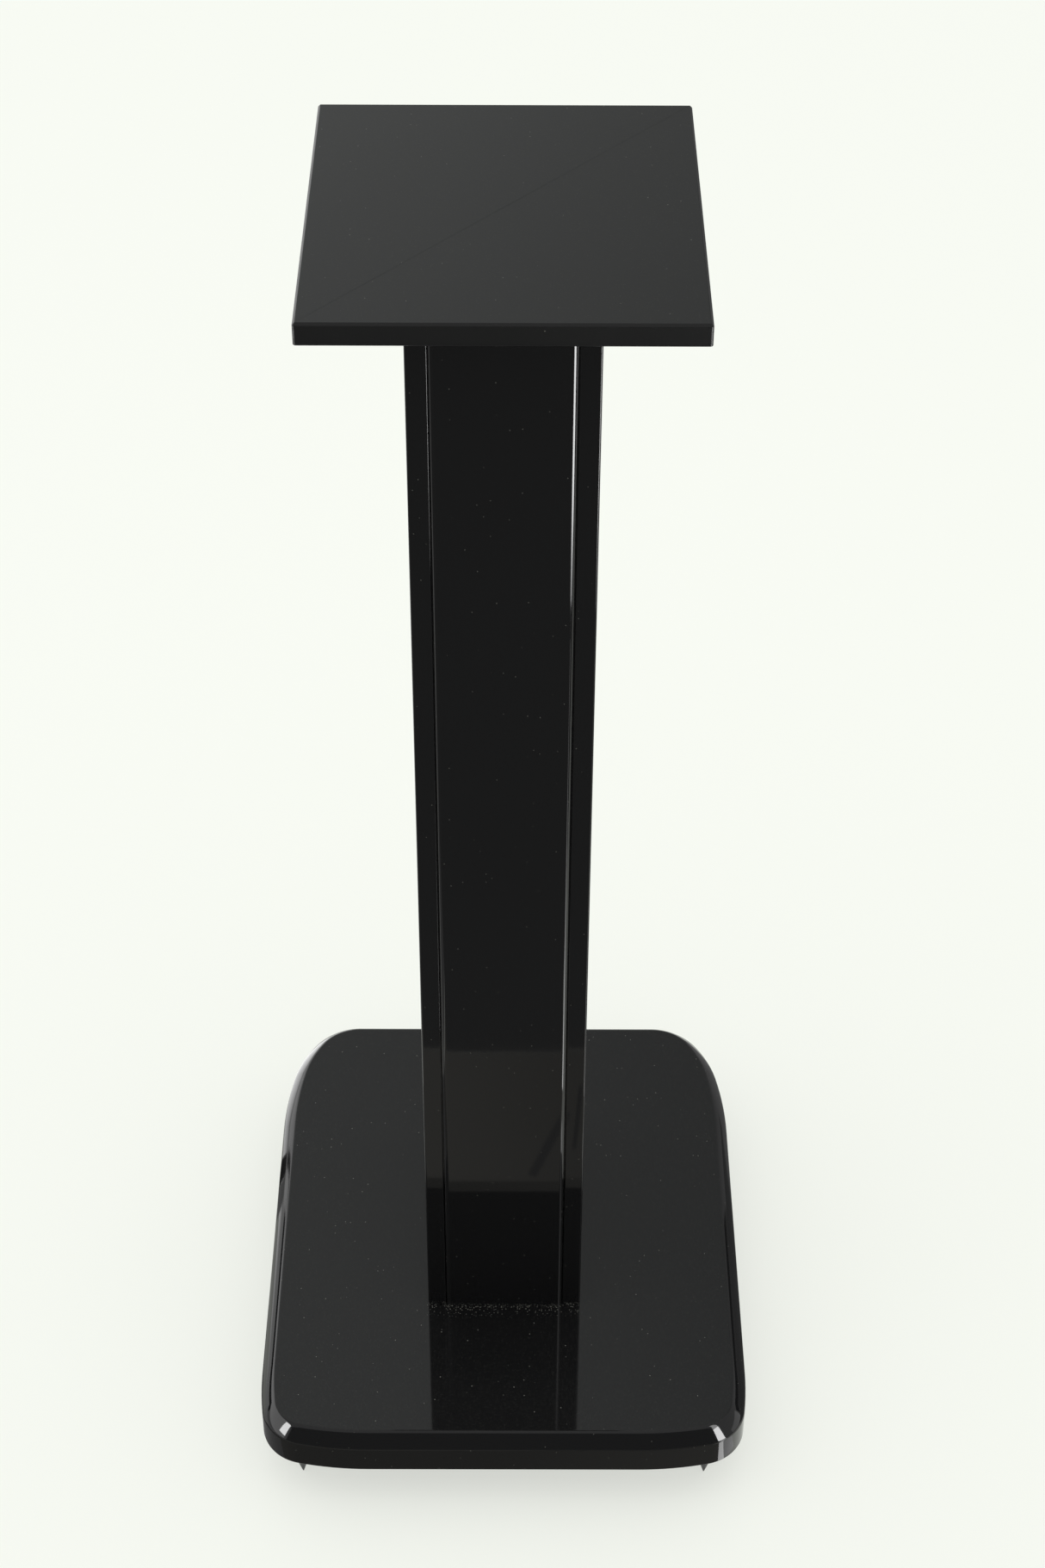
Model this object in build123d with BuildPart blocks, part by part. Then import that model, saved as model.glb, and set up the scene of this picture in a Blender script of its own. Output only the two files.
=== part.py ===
"""Pedestal stand: a flat top plate on a hollow boxed column, on a bevelled plinth with spikes.

Millimetres, +Z up. The origin lies on the floor under the middle of the plinth, and the
front of the stand faces -Y. The boards are lacquered fibreboard. Four tie rods clamp the
plinth, the column and the top plate together from below, so no fastener shows on top.
"""

import os
from math import cos, radians, sin

from build123d import *

# ------------------------------------------------------------------ driving dimensions
# Heights, from the floor up
spike_reach = 28.0  # plinth underside above the floor, with the spikes screwed home
plinth_thickness = 26.0
column_height = 676.0
plate_thickness = 11.0

# Plinth: bowed front, long gentle shoulders at the rear
plinth_width = 282.0
plinth_depth = 341.0
plinth_bevel = 7.8  # 45 degree bevel round the top
plinth_lower_round = 1.0
front_bow = (194.0, 12.0)  # tangent arcs of each front corner: radius, sweep in degrees
front_corner = (27.5, 70.5)
front_flank = (212.0, 7.5)
rear_flank = (243.0, 11.0)  # tangent arcs of each rear corner
rear_shoulder = (84.0, 22.0)
rear_corner = (34.5, 57.0)

# Column: two cheeks, with a proud panel let in between them at the front and at the rear
column_width = 90.0
cheek_depth = 140.0
cheek_thickness = 10.5
cheek_outer_round = 0.8
cheek_inner_arris = 0.4
panel_thickness = 15.0
panel_proud = 1.5
panel_lip = 2.0  # 45 degree lip along each long edge of a panel
shadow_gap = 0.45
shadow_gap_depth = 5.0
tongue_length = 4.0
tongue_thickness = 4.0
tongue_setback = 8.0  # from the panel's face
joint_clearance = 0.1

# Blocks and brace inside the column
end_block_height = 25.0
brace_height = 18.0
block_clearance = 0.1

# Top plate
plate_width = 183.0
plate_depth = 211.0
plate_corner_radius = 2.0
plate_top_chamfer = 1.2
plate_lower_chamfer = 0.8

# Tie rods, with a nut and washer in a counterbore under the plinth
rod_diameter = 8.0
rod_inset = 13.0  # rod axis to the cavity's walls
rod_hole_clearance = 0.3
thread_clearance = 0.05
rod_tail = 0.5  # rod past the nut
rod_recess = 1.0  # rod end above the plinth's underside
nut_flats = 13.0
nut_thickness = 6.5
washer_diameter = 22.0
washer_thickness = 2.0
counterbore_clearance = 1.0
plate_insert_diameter = 11.0
plate_insert_length = 8.0
plate_insert_engagement = 7.5  # rod inside the insert

# Dowels
dowel_diameter = 8.0
dowel_inset = 12.5  # dowel axis to the cavity's side walls
dowel_clearance = 0.05
dowel_end_gap = 0.5
top_dowel_in_plate = 6.0
top_dowel_in_block = 9.0
bottom_dowel_in_plinth = 10.0
bottom_dowel_in_block = 12.0

# Adjustable spikes
spike_side_inset = 24.0  # front pair, from the plinth's widest outline
spike_front_inset = 21.0
spike_rear_side_inset = 36.0  # rear pair stands further in, clear of the round corners
spike_rear_inset = 33.0
spike_diameter = 8.0
spike_cone_length = 13.0
spike_tip_diameter = 0.8
spike_stud_past_insert = 3.0  # top of the threaded stud above its insert
spike_stud_chamfer = 0.8
spike_travel = 8.0
spike_insert_diameter = 11.0
spike_insert_length = 13.0
spike_flange_diameter = 22.0
spike_flange_thickness = 1.5
lock_nut_flats = 13.0
lock_nut_thickness = 6.5

# ------------------------------------------------------------------ levels and positions
plinth_bottom = spike_reach
plinth_top = plinth_bottom + plinth_thickness
column_top = plinth_top + column_height
plate_top = column_top + plate_thickness

cavity_width = column_width - 2 * cheek_thickness
panel_face = cheek_depth / 2 + panel_proud
panel_back = panel_face - panel_thickness
panel_half_width = cavity_width / 2 - shadow_gap
tongue_face = panel_face - tongue_setback
tongue_back = tongue_face - tongue_thickness
cavity_depth = 2 * panel_back

rod_x = cavity_width / 2 - rod_inset
rod_y = cavity_depth / 2 - rod_inset
rod_hole_radius = rod_diameter / 2 + rod_hole_clearance
thread_hole_radius = rod_diameter / 2 + thread_clearance
rod_bottom = plinth_bottom + rod_recess
rod_top = column_top + plate_insert_engagement
nut_bottom = rod_bottom + rod_tail
washer_bottom = nut_bottom + nut_thickness
counterbore_depth = washer_bottom + washer_thickness - plinth_bottom
counterbore_radius = washer_diameter / 2 + counterbore_clearance

dowel_x = cavity_width / 2 - dowel_inset
dowel_hole_radius = dowel_diameter / 2 + dowel_clearance

flange_bottom = plinth_bottom - spike_flange_thickness
lock_nut_bottom = flange_bottom - lock_nut_thickness
stud_top = plinth_bottom + spike_insert_length + spike_stud_past_insert
spike_hole_radius = spike_diameter / 2 + thread_clearance

corners = {
    "front_left": (-1, -1),
    "front_right": (1, -1),
    "rear_left": (-1, 1),
    "rear_right": (1, 1),
}


def rod_place(corner):
    """Plan position of a tie rod."""
    side, end = corners[corner]
    return side * rod_x, end * rod_y


def spike_place(corner):
    """Plan position of a spike."""
    side, end = corners[corner]
    if end < 0:
        return side * (plinth_width / 2 - spike_side_inset), -plinth_depth / 2 + spike_front_inset
    return side * (plinth_width / 2 - spike_rear_side_inset), plinth_depth / 2 - spike_rear_inset


rod_places = [rod_place(corner) for corner in corners]
spike_places = [spike_place(corner) for corner in corners]
dowel_places = [(-dowel_x, 0), (dowel_x, 0)]


# ------------------------------------------------------------------ helpers
def save(piece, name):
    """Labels a finished piece and writes it."""
    piece.part.label = name
    export_step(piece.part, f"parts/{name}.step")


def drill(places, radius, start, depth):
    """Cuts a round hole up from the level start at each plan position."""
    with BuildSketch(Plane.XY.offset(start)) as discs:
        with Locations(*places):
            Circle(radius)
    extrude(discs.sketch, amount=depth, mode=Mode.SUBTRACT)


def tube(place, outer_radius, inner_radius, bottom, height):
    """Adds a round tube that stands on the level bottom."""
    with BuildSketch(Plane.XY.offset(bottom)) as ring:
        with Locations(place):
            Circle(outer_radius)
            Circle(inner_radius, mode=Mode.SUBTRACT)
    extrude(ring.sketch, amount=height)


def hex_nut(place, flats, inner_radius, bottom, height):
    """Adds a hexagon nut that stands on the level bottom."""
    with BuildSketch(Plane.XY.offset(bottom)) as hexagon:
        with Locations(place):
            RegularPolygon(flats / 2, 6, major_radius=False)
            Circle(inner_radius, mode=Mode.SUBTRACT)
    extrude(hexagon.sketch, amount=height)


def corner_reach(arcs):
    """How far a quarter turn of tangent arcs reaches, along its first edge and across it."""
    heading = 0.0
    along = 0.0
    across = 0.0
    for radius, sweep in arcs:
        turned = heading + radians(sweep)
        along += radius * (sin(turned) - sin(heading))
        across += radius * (cos(heading) - cos(turned))
        heading = turned
    return along, across


def corner_arcs(start, heading, arcs):
    """Draws tangent arcs one after another from start, each turning left."""
    for radius, sweep in arcs:
        arc = JernArc(start=start, tangent=heading, radius=radius, arc_size=sweep)
        start = arc @ 1
        heading = arc % 1
    return start


# ------------------------------------------------------------------ plinth
def plinth_outline():
    """Plan outline: the right half is drawn from the front and mirrored."""
    front_arcs = [front_bow, front_corner, front_flank]
    rear_arcs = [rear_flank, rear_shoulder, rear_corner]
    front_reach, _ = corner_reach(front_arcs)
    rear_reach, rear_across = corner_reach(rear_arcs)
    front_end = (plinth_width / 2 - front_reach, -plinth_depth / 2)
    side_end = (plinth_width / 2, plinth_depth / 2 - rear_reach)
    rear_end = (plinth_width / 2 - rear_across, plinth_depth / 2)
    Line((0, -plinth_depth / 2), front_end)
    side_start = corner_arcs(front_end, (1, 0), front_arcs)
    Line(side_start, side_end)
    corner_arcs(side_end, (0, 1), rear_arcs)
    Line(rear_end, (0, plinth_depth / 2))
    mirror(about=Plane.YZ)


def make_plinth():
    """Bevelled base board, with the holes for rods, dowels and spike inserts."""
    with BuildPart() as plinth:
        with BuildSketch(Plane.XY.offset(plinth_bottom)):
            with BuildLine():
                plinth_outline()
            make_face()
        extrude(amount=plinth_thickness)
        chamfer(plinth.faces().sort_by(Axis.Z)[-1].edges(), length=plinth_bevel)
        fillet(plinth.faces().sort_by(Axis.Z)[0].edges(), radius=plinth_lower_round)
        drill(rod_places, rod_hole_radius, plinth_bottom, plinth_thickness)
        drill(rod_places, counterbore_radius, plinth_bottom, counterbore_depth)
        dowel_hole_depth = bottom_dowel_in_plinth + dowel_end_gap
        drill(dowel_places, dowel_hole_radius, plinth_top - dowel_hole_depth, dowel_hole_depth)
        drill(spike_places, spike_insert_diameter / 2, plinth_bottom, spike_insert_length)
        drill(spike_places, spike_hole_radius, plinth_bottom, stud_top - plinth_bottom)
    save(plinth, "plinth")


# ------------------------------------------------------------------ column
def make_cheek(side, name):
    """Side board of the column, grooved for the tongues of both panels."""
    middle = side * (column_width - cheek_thickness) / 2
    groove_width = tongue_thickness + 2 * joint_clearance
    groove_depth = tongue_length + joint_clearance
    groove_x = side * (cavity_width + groove_depth) / 2
    groove_y = (tongue_face + tongue_back) / 2
    with BuildPart() as cheek:
        with BuildSketch(Plane.XY.offset(plinth_top)):
            with Locations((middle, 0)):
                Rectangle(cheek_thickness, cheek_depth)
            with Locations((groove_x, -groove_y), (groove_x, groove_y)):
                Rectangle(groove_depth, groove_width, mode=Mode.SUBTRACT)
        extrude(amount=column_height)
        upright = cheek.edges().filter_by(Axis.Z)
        at_ends = upright.filter_by(lambda edge: abs(edge.center().Y) > cheek_depth / 2 - joint_clearance)
        across = at_ends.sort_by(lambda edge: abs(edge.center().X))
        chamfer(across[:2], length=cheek_inner_arris)
        outer = cheek.edges().filter_by(Axis.Z).sort_by(lambda edge: abs(edge.center().X))[-2:]
        fillet(outer, radius=cheek_outer_round)
    save(cheek, name)


def make_panel(end, name):
    """Proud centre panel, tongued into both cheeks, with a narrow shadow gap beside each lip."""
    half_cavity = cavity_width / 2
    tongue_reach = half_cavity + tongue_length
    gap_back = panel_face - shadow_gap_depth
    with BuildPart() as panel:
        with BuildSketch(Plane.XY.offset(plinth_top)):
            with BuildLine():
                Polyline(
                    (0, end * panel_face),
                    (panel_half_width - panel_lip, end * panel_face),
                    (panel_half_width, end * (panel_face - panel_lip)),
                    (panel_half_width, end * gap_back),
                    (half_cavity, end * gap_back),
                    (half_cavity, end * tongue_face),
                    (tongue_reach, end * tongue_face),
                    (tongue_reach, end * tongue_back),
                    (half_cavity, end * tongue_back),
                    (half_cavity, end * panel_back),
                    (0, end * panel_back),
                )
                mirror(about=Plane.YZ)
            make_face()
        extrude(amount=column_height)
    save(panel, name)


def block(bottom, height):
    """Adds a board that fills the column's cavity in plan, drilled for the rods."""
    with BuildSketch(Plane.XY.offset(bottom)) as board:
        Rectangle(cavity_width - 2 * block_clearance, cavity_depth - 2 * block_clearance)
    extrude(board.sketch, amount=height)
    drill(rod_places, rod_hole_radius, bottom, height)


def make_blocks():
    """End blocks and middle brace that keep the cheeks and panels square."""
    bottom_hole_depth = bottom_dowel_in_block + dowel_end_gap
    with BuildPart() as bottom_block:
        block(plinth_top, end_block_height)
        drill(dowel_places, dowel_hole_radius, plinth_top, bottom_hole_depth)
    save(bottom_block, "column_bottom_block")

    with BuildPart() as brace:
        block(plinth_top + (column_height - brace_height) / 2, brace_height)
    save(brace, "column_brace")

    top_hole_depth = top_dowel_in_block + dowel_end_gap
    with BuildPart() as top_block:
        block(column_top - end_block_height, end_block_height)
        drill(dowel_places, dowel_hole_radius, column_top - top_hole_depth, top_hole_depth)
    save(top_block, "column_top_block")


# ------------------------------------------------------------------ top plate
def make_top_plate():
    """Flat shelf, bored from below for the threaded inserts and the locating dowels."""
    with BuildPart() as top_plate:
        with BuildSketch(Plane.XY.offset(column_top)):
            RectangleRounded(plate_width, plate_depth, plate_corner_radius)
        extrude(amount=plate_thickness)
        chamfer(top_plate.faces().sort_by(Axis.Z)[-1].edges(), length=plate_top_chamfer)
        chamfer(top_plate.faces().sort_by(Axis.Z)[0].edges(), length=plate_lower_chamfer)
        drill(rod_places, plate_insert_diameter / 2, column_top, plate_insert_length)
        drill(dowel_places, dowel_hole_radius, column_top, top_dowel_in_plate + dowel_end_gap)
    save(top_plate, "top_plate")


# ------------------------------------------------------------------ dowels
def make_dowels():
    """Locating dowels at the foot and at the head of the column."""
    bottom_length = bottom_dowel_in_plinth + bottom_dowel_in_block
    top_length = top_dowel_in_plate + top_dowel_in_block
    for (x, y), side in zip(dowel_places, ("left", "right")):
        with BuildPart() as bottom_dowel:
            with BuildSketch(Plane.XY.offset(plinth_top - bottom_dowel_in_plinth)):
                with Locations((x, y)):
                    Circle(dowel_diameter / 2)
            extrude(amount=bottom_length)
        save(bottom_dowel, f"bottom_dowel_{side}")

        with BuildPart() as top_dowel:
            with BuildSketch(Plane.XY.offset(column_top - top_dowel_in_block)):
                with Locations((x, y)):
                    Circle(dowel_diameter / 2)
            extrude(amount=top_length)
        save(top_dowel, f"top_dowel_{side}")


# ------------------------------------------------------------------ tie rods
def make_tie_rod(corner):
    """Rod from the plinth's counterbore to the top plate, with its nut, washer and insert."""
    place = rod_place(corner)
    with BuildPart() as tie_rod:
        with BuildSketch(Plane.XY.offset(rod_bottom)):
            with Locations(place):
                Circle(rod_diameter / 2)
        extrude(amount=rod_top - rod_bottom)
    save(tie_rod, f"tie_rod_{corner}")

    with BuildPart() as rod_nut:
        hex_nut(place, nut_flats, thread_hole_radius, nut_bottom, nut_thickness)
    save(rod_nut, f"rod_nut_{corner}")

    with BuildPart() as rod_washer:
        tube(place, washer_diameter / 2, rod_hole_radius, washer_bottom, washer_thickness)
    save(rod_washer, f"rod_washer_{corner}")

    with BuildPart() as plate_insert:
        tube(place, plate_insert_diameter / 2, thread_hole_radius, column_top, plate_insert_length)
    save(plate_insert, f"plate_insert_{corner}")


# ------------------------------------------------------------------ spikes
def make_spike(corner):
    """Pointed foot on a threaded stud, with its flanged insert and its lock nut."""
    x, y = spike_place(corner)
    tip_radius = spike_tip_diameter / 2
    stud_radius = spike_diameter / 2
    with BuildPart() as spike:
        with BuildSketch(Plane.XZ.offset(-y)):
            with BuildLine():
                Polyline(
                    (x, 0),
                    (x + tip_radius, 0),
                    (x + stud_radius, spike_cone_length),
                    (x + stud_radius, stud_top - spike_stud_chamfer),
                    (x + stud_radius - spike_stud_chamfer, stud_top),
                    (x, stud_top),
                    close=True,
                )
            make_face()
        revolve(axis=Axis((x, y, 0), (0, 0, 1)))
    save(spike, f"spike_{corner}")

    with BuildPart() as spike_insert:
        tube((x, y), spike_insert_diameter / 2, spike_hole_radius, plinth_bottom, spike_insert_length)
        tube((x, y), spike_flange_diameter / 2, spike_hole_radius, flange_bottom, spike_flange_thickness)
    save(spike_insert, f"spike_insert_{corner}")

    with BuildPart() as lock_nut:
        hex_nut((x, y), lock_nut_flats, spike_hole_radius, lock_nut_bottom, lock_nut_thickness)
    save(lock_nut, f"lock_nut_{corner}")


# ------------------------------------------------------------------ build
os.makedirs("parts", exist_ok=True)

make_plinth()
make_cheek(-1, "left_cheek")
make_cheek(1, "right_cheek")
make_panel(-1, "front_panel")
make_panel(1, "rear_panel")
make_blocks()
make_top_plate()
make_dowels()
for corner_name in corners:
    make_tie_rod(corner_name)
    make_spike(corner_name)

thread_left = stud_top - spike_travel - flange_bottom
print(f"height {plate_top:.1f}; thread left in an insert at full spike travel {thread_left:.1f}")
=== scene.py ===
"""Loudspeaker stand in black lacquer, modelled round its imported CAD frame.

Metres, +Z up, front towards -Y. The operators make the visible pieces one group at a time, at the
places that the CAD nodes give, and main() calls them in order.
"""

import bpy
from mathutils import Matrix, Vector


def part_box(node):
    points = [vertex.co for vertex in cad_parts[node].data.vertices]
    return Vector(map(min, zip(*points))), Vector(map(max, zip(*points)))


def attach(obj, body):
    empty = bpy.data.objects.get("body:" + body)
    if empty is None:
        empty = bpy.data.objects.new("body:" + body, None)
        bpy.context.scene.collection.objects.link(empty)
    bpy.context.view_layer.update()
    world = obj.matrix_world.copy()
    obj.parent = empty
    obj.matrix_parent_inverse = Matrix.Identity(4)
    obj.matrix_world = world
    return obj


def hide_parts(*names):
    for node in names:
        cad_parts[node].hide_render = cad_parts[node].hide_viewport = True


bl_info = {
    "name": "Loudspeaker Stand",
    "version": (1, 0, 0),
    "blender": (4, 5, 0),
    "location": "3D View > Sidebar > Stand",
    "description": "Models a lacquered loudspeaker stand piece by piece on its CAD frame",
    "category": "Object",
}

from math import cos, pi, radians, sin, tan, tau

import bmesh
import bpy
from bpy.props import FloatProperty, FloatVectorProperty, PointerProperty
from bpy.types import Operator, Panel, PropertyGroup
from mathutils import Matrix, Quaternion, Vector

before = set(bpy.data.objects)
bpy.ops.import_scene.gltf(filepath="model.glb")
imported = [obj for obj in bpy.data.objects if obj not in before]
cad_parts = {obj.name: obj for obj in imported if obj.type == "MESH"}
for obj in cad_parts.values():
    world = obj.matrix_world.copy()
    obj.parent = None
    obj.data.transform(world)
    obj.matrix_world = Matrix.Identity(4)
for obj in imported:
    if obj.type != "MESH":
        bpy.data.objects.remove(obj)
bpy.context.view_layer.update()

MM = 0.001
TOUCH = 0.00002  # two levels nearer than this are the same level
SAME_POINT = 0.000002  # two points nearer than this are merged
finishes_made = {}
CORNERS = ("front_left", "front_right", "rear_left", "rear_right")
SIDES = ("left", "right")

# Radii of the holes and of the turned parts
THREAD_BORE = 4.05 * MM
ROD_HOLE = 4.3 * MM
DOWEL_HOLE = 4.05 * MM
COUNTERBORE = 12.0 * MM
INSERT_BARREL = 5.5 * MM
RIM = 11.0 * MM  # of the washers and of the inserts' flanges
M8_PITCH = 1.25 * MM  # pitch of the rods' and inserts' threads
PAST = MM  # how far a hole is cut past an open end
DOWEL_ROOM = 0.5 * MM  # left free at a dowel's end

# Half widths of a column panel, and how far behind its face its steps lie
LIP_EDGE = 34.05 * MM
PANEL_CORE = 34.5 * MM
LIP_DEPTH = 5.0 * MM
TONGUE_FRONT = 8.0 * MM
TONGUE_BACK = 12.0 * MM
# Grooves of a cheek, from the middle of the column, and the room left at a tongue's end
GROOVE_NEAR = 59.4 * MM
GROOVE_FAR = 63.6 * MM
TONGUE_ROOM = 0.1 * MM

# Plan of the plinth: tangent arcs of each front corner and each rear corner, from the middle of the
# front round to the middle of the rear. Each has a radius in mm, and a sweep and a step in degrees.
FRONT_ARCS = ((194.0, 12.0, 1.5), (27.5, 70.5, 1.5), (212.0, 7.5, 1.5))
REAR_ARCS = ((243.0, 11.0, 1.5), (84.0, 22.0, 1.5), (34.5, 57.0, 1.5))
# Profile of the plinth's bevel, almost flat: 0.25 would be a straight chamfer and 0.5 a round
CROWN = 0.30
# Lip of a column panel, from its face round to its flank, as arcs of the same kind that are scaled
# to the lip's width
LIP_ARCS = ((1.0, 19.0, 4.75), (7.5, 10.0, 1.25), (2.6, 31.0, 3.1), (0.5, 30.0, 7.5))


# ------------------------------------------------------------------ sizes and finishes
def length(name, description, millimetres, **limits):
    """A length that a user can change."""
    return FloatProperty(
        name=name,
        description=description,
        default=millimetres * MM,
        min=0.0,
        unit="LENGTH",
        subtype="DISTANCE",
        precision=5,
        **limits,
    )


def colour(name, description, red, green, blue):
    """A colour that a user can change."""
    return FloatVectorProperty(
        name=name, description=description, default=(red, green, blue), min=0.0, max=1.0, subtype="COLOR"
    )


class StandSizes(PropertyGroup):
    """Sizes of the edges and details; the main sizes come from the CAD frame."""

    plinth_bevel: length("Plinth bevel", "Width of the bevel round the plinth's top", 7.8)
    plinth_arris: length("Plinth upper arris", "How far that bevel's upper arris is eased", 0.7)
    plinth_edge: length("Plinth lower arris", "How far that bevel's lower arris is eased", 0.7)
    plinth_foot: length("Plinth foot", "Rounding of the plinth's lower edge", 1.0)
    cheek_outer: length("Cheek outer round", "Rounding of a cheek's outer corners", 1.1)
    cheek_inner: length("Cheek inner round", "Easing of a cheek's corners beside the panel", 0.7)
    panel_lip: length("Panel lip", "Width of the crowned lip along a panel's long edges", 2.55)
    plate_corner: length("Plate corner", "Plan radius of the top plate's corners", 1.3)
    plate_chamfer: length("Plate chamfer", "Chamfer round the top plate's upper edge", 1.2)
    plate_lower: length("Plate lower edge", "Easing of the top plate's lower edge", 0.3)
    thread_pitch: length("Thread pitch", "Pitch of the spikes' threads", 1.25)
    thread_depth: length("Thread depth", "Depth of the spikes' threads", 0.62)


class StandFinishes(PropertyGroup):
    """Colours of the finishes."""

    lacquer: colour("Lacquer", "Gloss lacquer on the plinth and the column", 0.0056, 0.0056, 0.0060)
    satin: colour("Satin", "Satin lacquer on the top plate", 0.0024, 0.0025, 0.0026)
    dust: colour("Dust", "Fine dust that lies on level surfaces", 0.42, 0.42, 0.38)
    board: colour("Fibreboard", "Bare fibreboard inside the column", 0.34, 0.235, 0.14)
    beech: colour("Beech", "Dowels", 0.62, 0.43, 0.26)
    zinc: colour("Zinc", "Plated rods, nuts, washers and inserts", 0.62, 0.64, 0.66)
    brass: colour("Brass", "Threaded inserts in the top plate", 0.78, 0.57, 0.24)
    black_steel: colour("Black steel", "Spikes and lock nuts", 0.030, 0.030, 0.032)
    floor: colour("Floor", "Studio floor", 0.862, 0.880, 0.832)


# ------------------------------------------------------------------ selecting and editing
def deselect():
    """Leaves edit mode with nothing selected."""
    if bpy.context.mode != "OBJECT":
        bpy.ops.object.mode_set(mode="OBJECT")
    bpy.ops.object.select_all(action="DESELECT")


def take(piece):
    """Makes a piece the active one and the only one selected."""
    deselect()
    piece.select_set(True)
    bpy.context.view_layer.objects.active = piece


def edit(piece):
    """Opens a piece in edit mode with nothing selected."""
    take(piece)
    bpy.ops.object.mode_set(mode="EDIT")
    bpy.ops.mesh.select_all(action="DESELECT")


def select(kind, test):
    """Selects the vertices, edges or faces of the piece in edit mode that pass a test."""
    mesh = bpy.context.edit_object.data
    bpy.ops.mesh.select_mode(type=kind)
    bpy.ops.mesh.select_all(action="DESELECT")
    shape = bmesh.from_edit_mesh(mesh)
    elements = {"VERT": shape.verts, "EDGE": shape.edges, "FACE": shape.faces}[kind]
    for element in [e for e in elements if test(e)]:
        element.select_set(True)
    bmesh.update_edit_mesh(mesh)


def at_level(level):
    """Test for an edge that lies at one height."""
    return lambda edge: all(abs(end.co.z - level) < TOUCH for end in edge.verts)


def upright_at(*places):
    """Test for an upright edge at one of some plan positions."""

    def test(edge):
        a, b = (end.co for end in edge.verts)
        upright = abs(a.x - b.x) < TOUCH and abs(a.y - b.y) < TOUCH
        return upright and any(abs(a.x - x) < TOUCH and abs(a.y - y) < TOUCH for x, y in places)

    return test


def bevel(test, width, segments=1, profile=0.5):
    """Bevels the edges that pass a test, in edit mode."""
    select("EDGE", test)
    bpy.ops.mesh.bevel(
        offset=width, offset_type="OFFSET", segments=segments, profile=profile, clamp_overlap=False
    )


def modify(piece, kind, **settings):
    """Adds a modifier and applies it."""
    take(piece)
    bpy.ops.object.modifier_add(type=kind)
    modifier = piece.modifiers[-1]
    for name, value in settings.items():
        setattr(modifier, name, value)
    bpy.ops.object.modifier_apply(modifier=modifier.name)


def combine(piece, cutter, operation):
    """Cuts, joins or trims a piece with another, which is used up."""
    modify(piece, "BOOLEAN", operation=operation, solver="EXACT", object=cutter)
    mesh = cutter.data
    bpy.data.objects.remove(cutter)
    bpy.data.meshes.remove(mesh)


def drill(piece, places, radius, low, high):
    """Cuts upright round holes at some plan positions, between two levels."""
    cutters = []
    for x, y in places:
        deselect()
        bpy.ops.mesh.primitive_cylinder_add(
            vertices=48, radius=radius, depth=high - low, location=(x, y, (low + high) / 2)
        )
        cutters.append(bpy.context.object)
    deselect()
    for cutter in cutters:
        cutter.select_set(True)
    bpy.context.view_layer.objects.active = cutters[0]
    bpy.ops.object.join()
    combine(piece, bpy.context.object, "DIFFERENCE")


def copy_of(piece, name, move=(0, 0, 0), half_turn=False):
    """Copies a piece with its own mesh, moved in the mesh or turned half round the middle."""
    take(piece)
    bpy.ops.object.duplicate()
    twin = bpy.context.object
    twin.name = twin.data.name = name
    if half_turn:
        bpy.ops.transform.rotate(value=pi, orient_axis="Z", center_override=(0, 0, 0))
    bpy.ops.transform.translate(value=move)
    bpy.ops.object.transform_apply(location=True, rotation=True, scale=True)
    return twin


def smooth(piece, angle=32):
    """Shades round faces smooth and keeps flat ones flat."""
    take(piece)
    bpy.ops.object.transform_apply(location=True, rotation=True, scale=True)
    bpy.ops.object.shade_smooth_by_angle(angle=radians(angle))
    modify(piece, "WEIGHTED_NORMAL", keep_sharp=True, weight=90)


def deliver(piece, finish, body, slot, *nodes):
    """Gives a finished piece its material and its body, and hides the CAD nodes that it stands for."""
    piece.data.materials.clear()
    piece.data.materials.append(finish)
    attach(piece, body)
    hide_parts(*nodes)


def at_corners(first, kind, slot, finish, feet=False):
    """Copies the front left one to the other corners; all four ride the stand or their own foot."""
    x, y = middle(f"{kind}_front_left")
    for corner in CORNERS:
        piece = first
        if corner != "front_left":
            to_x, to_y = middle(f"{kind}_{corner}")
            piece = copy_of(first, f"{kind}_{corner}_piece", (to_x - x, to_y - y, 0))
        body = f"foot_{corner}" if feet else "stand"
        deliver(piece, finish, body, slot, f"{kind}_{corner}")


# ------------------------------------------------------------------ drawing
def one_point(name):
    """Starts a piece as one point at the origin, selected in edit mode."""
    deselect()
    bpy.ops.mesh.primitive_plane_add(size=MM)
    piece = bpy.context.object
    piece.name = piece.data.name = name
    bpy.ops.object.mode_set(mode="EDIT")
    bpy.ops.mesh.select_mode(type="VERT")
    bpy.ops.mesh.select_all(action="SELECT")
    bpy.ops.mesh.merge(type="CENTER")
    return piece


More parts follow.
